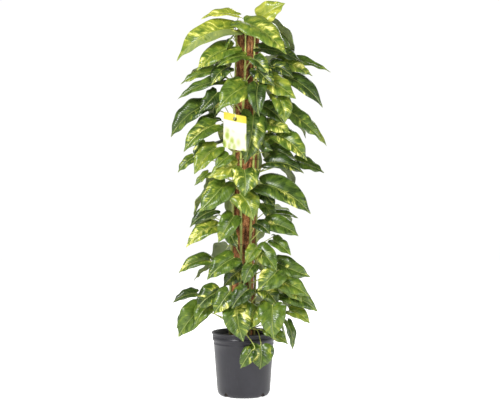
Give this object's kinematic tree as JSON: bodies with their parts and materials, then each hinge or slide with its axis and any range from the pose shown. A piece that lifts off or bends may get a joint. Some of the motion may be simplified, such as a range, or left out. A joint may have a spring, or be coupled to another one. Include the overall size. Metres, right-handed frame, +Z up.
{
  "type": "potted pothos on a coir pole",
  "caption": "Tall potted pothos trained up a coir pole: heart-shaped variegated leaves on climbing vines, in a round dark grower's pot with a care tag.",
  "frame": {"origin": "centre of the pot's underside", "axes": "+Z up along the pole, -Y towards the side that carries the tag"},
  "size_m": [0.601, 0.471, 1.4809],
  "materials": {
    "pothos_leaf": "satin",
    "pothos_stem": "satin",
    "coir_twine": "matte",
    "coir_fibre": "matte",
    "pot_plastic": "satin",
    "potting_soil": "matte",
    "pine_stake": "matte",
    "printed_card": "satin",
    "elastic_cord": "matte"
  },
  "bodies": {
    "root": {"care_tag": "printed_card", "coir_sleeve": "coir_fibre", "leaf_01": "pothos_leaf", "leaf_02": "pothos_leaf", "leaf_03": "pothos_leaf", "leaf_04": "pothos_leaf", "leaf_05": "pothos_leaf", "leaf_06": "pothos_leaf", "leaf_07": "pothos_leaf", "leaf_08": "pothos_leaf", "leaf_09": "pothos_leaf", "leaf_10": "pothos_leaf", "leaf_11": "pothos_leaf", "leaf_12": "pothos_leaf", "leaf_13": "pothos_leaf", "leaf_14": "pothos_leaf", "leaf_15": "pothos_leaf", "leaf_16": "pothos_leaf", "leaf_17": "pothos_leaf", "leaf_18": "pothos_leaf", "leaf_19": "pothos_leaf", "leaf_20": "pothos_leaf", "leaf_21": "pothos_leaf", "leaf_22": "pothos_leaf", "leaf_23": "pothos_leaf", "leaf_24": "pothos_leaf", "leaf_25": "pothos_leaf", "leaf_26": "pothos_leaf", "leaf_27": "pothos_leaf", "leaf_28": "pothos_leaf", "leaf_29": "pothos_leaf", "leaf_30": "pothos_leaf", "leaf_31": "pothos_leaf", "leaf_32": "pothos_leaf", "leaf_33": "pothos_leaf", "leaf_34": "pothos_leaf", "leaf_35": "pothos_leaf", "leaf_36": "pothos_leaf", "leaf_37": "pothos_leaf", "leaf_38": "pothos_leaf", "leaf_39": "pothos_leaf", "leaf_40": "pothos_leaf", "leaf_41": "pothos_leaf", "leaf_42": "pothos_leaf", "leaf_43": "pothos_leaf", "leaf_44": "pothos_leaf", "pole_core": "pine_stake", "pot": "pot_plastic", "soil": "potting_soil", "tag_loop": "elastic_cord", "tie_lower": "coir_twine", "tie_middle": "coir_twine", "tie_upper": "coir_twine", "vine_back_left": "pothos_stem", "vine_back_right": "pothos_stem", "vine_front": "pothos_stem", "vine_front_left": "pothos_stem", "vine_front_right": "pothos_stem", "vine_left": "pothos_stem", "vine_right": "pothos_stem"}
  },
  "joints": []
}
